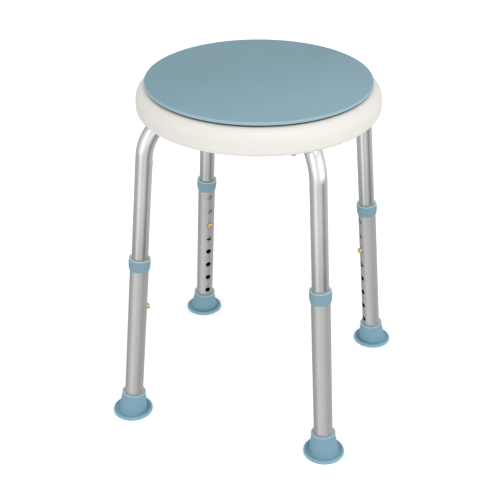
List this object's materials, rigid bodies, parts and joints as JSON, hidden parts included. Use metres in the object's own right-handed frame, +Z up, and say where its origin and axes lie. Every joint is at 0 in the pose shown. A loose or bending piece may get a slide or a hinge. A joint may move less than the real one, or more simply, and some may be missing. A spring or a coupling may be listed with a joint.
{
  "type": "shower stool",
  "caption": "Round shower stool with a thin swivelling disc on a moulded seat, and splayed telescopic tube legs with snap buttons and rubber feet.",
  "frame": {"origin": "on the floor, under the middle of the seat", "axes": "+Z up along the seat's swivel axis; the front legs stand towards -Y, and each leg is at 45 degrees to X and Y"},
  "size_m": [0.3402, 0.3402, 0.472],
  "materials": {
    "tube": "satin drawn tube",
    "seat": "moulded, fine satin",
    "disc": "moulded, fine satin",
    "collar": "moulded, satin",
    "foot": "moulded, matt",
    "steel": "plated steel",
    "brass": "turned brass",
    "nylon": "plain nylon",
    "plug": "plain plastic"
  },
  "bodies": {
    "seat_frame": {"seat_shell": "seat", "clamp_screws": "steel", "pivot_bush": "nylon", "glide_ring": "nylon", "upper_tube_br": "tube", "tube_plug_br": "plug", "leg_clamp_br": "seat", "button_spring_br": "steel", "upper_tube_bl": "tube", "tube_plug_bl": "plug", "leg_clamp_bl": "seat", "button_spring_bl": "steel", "upper_tube_fl": "tube", "tube_plug_fl": "plug", "leg_clamp_fl": "seat", "button_spring_fl": "steel", "upper_tube_fr": "tube", "tube_plug_fr": "plug", "leg_clamp_fr": "seat", "button_spring_fr": "steel"},
    "seat_disc": {"swivel_disc": "disc", "pivot_washer": "steel", "pivot_screw": "steel"},
    "leg_br": {"lower_tube_br": "tube", "collar_br": "collar", "foot_br": "foot", "foot_washer_br": "steel"},
    "button_br": {"snap_button_br": "brass"},
    "leg_bl": {"lower_tube_bl": "tube", "collar_bl": "collar", "foot_bl": "foot", "foot_washer_bl": "steel"},
    "button_bl": {"snap_button_bl": "brass"},
    "leg_fl": {"lower_tube_fl": "tube", "collar_fl": "collar", "foot_fl": "foot", "foot_washer_fl": "steel"},
    "button_fl": {"snap_button_fl": "brass"},
    "leg_fr": {"lower_tube_fr": "tube", "collar_fr": "collar", "foot_fr": "foot", "foot_washer_fr": "steel"},
    "button_fr": {"snap_button_fr": "brass"}
  },
  "joints": [
    {"name": "seat_swivel", "type": "hinge", "parent": "seat_frame", "child": "seat_disc", "pos_m": [0, 0, 0.466], "axis": [0, 0, 1], "continuous": true},
    {"name": "leg_slide_br", "type": "slide", "parent": "seat_frame", "child": "leg_br", "axis": [0.0696, 0.0696, -0.9951], "range_m": [-0.127, 0.0508], "deforming": ["snap_button_br", "button_spring_br"]},
    {"name": "leg_slide_bl", "type": "slide", "parent": "seat_frame", "child": "leg_bl", "axis": [-0.0696, 0.0696, -0.9951], "range_m": [-0.127, 0.0508], "deforming": ["snap_button_bl", "button_spring_bl"]},
    {"name": "leg_slide_fl", "type": "slide", "parent": "seat_frame", "child": "leg_fl", "axis": [-0.0696, -0.0696, -0.9951], "range_m": [-0.127, 0.0508], "deforming": ["snap_button_fl", "button_spring_fl"]},
    {"name": "leg_slide_fr", "type": "slide", "parent": "seat_frame", "child": "leg_fr", "axis": [0.0696, -0.0696, -0.9951], "range_m": [-0.127, 0.0508], "deforming": ["snap_button_fr", "button_spring_fr"]},
    {"name": "button_press_br", "type": "slide", "parent": "seat_frame", "child": "button_br", "axis": [0.7037, 0.7037, 0.0984], "range_m": [0, 0.0062], "stiffness_N_per_m": 2000, "springref_m": -0.002, "deforming": ["button_spring_br"]},
    {"name": "button_press_bl", "type": "slide", "parent": "seat_frame", "child": "button_bl", "axis": [-0.7037, 0.7037, 0.0984], "range_m": [0, 0.0062], "stiffness_N_per_m": 2000, "springref_m": -0.002, "deforming": ["button_spring_bl"]},
    {"name": "button_press_fl", "type": "slide", "parent": "seat_frame", "child": "button_fl", "axis": [-0.7037, -0.7037, 0.0984], "range_m": [0, 0.0062], "stiffness_N_per_m": 2000, "springref_m": -0.002, "deforming": ["button_spring_fl"]},
    {"name": "button_press_fr", "type": "slide", "parent": "seat_frame", "child": "button_fr", "axis": [0.7037, -0.7037, 0.0984], "range_m": [0, 0.0062], "stiffness_N_per_m": 2000, "springref_m": -0.002, "deforming": ["button_spring_fr"]}
  ]
}
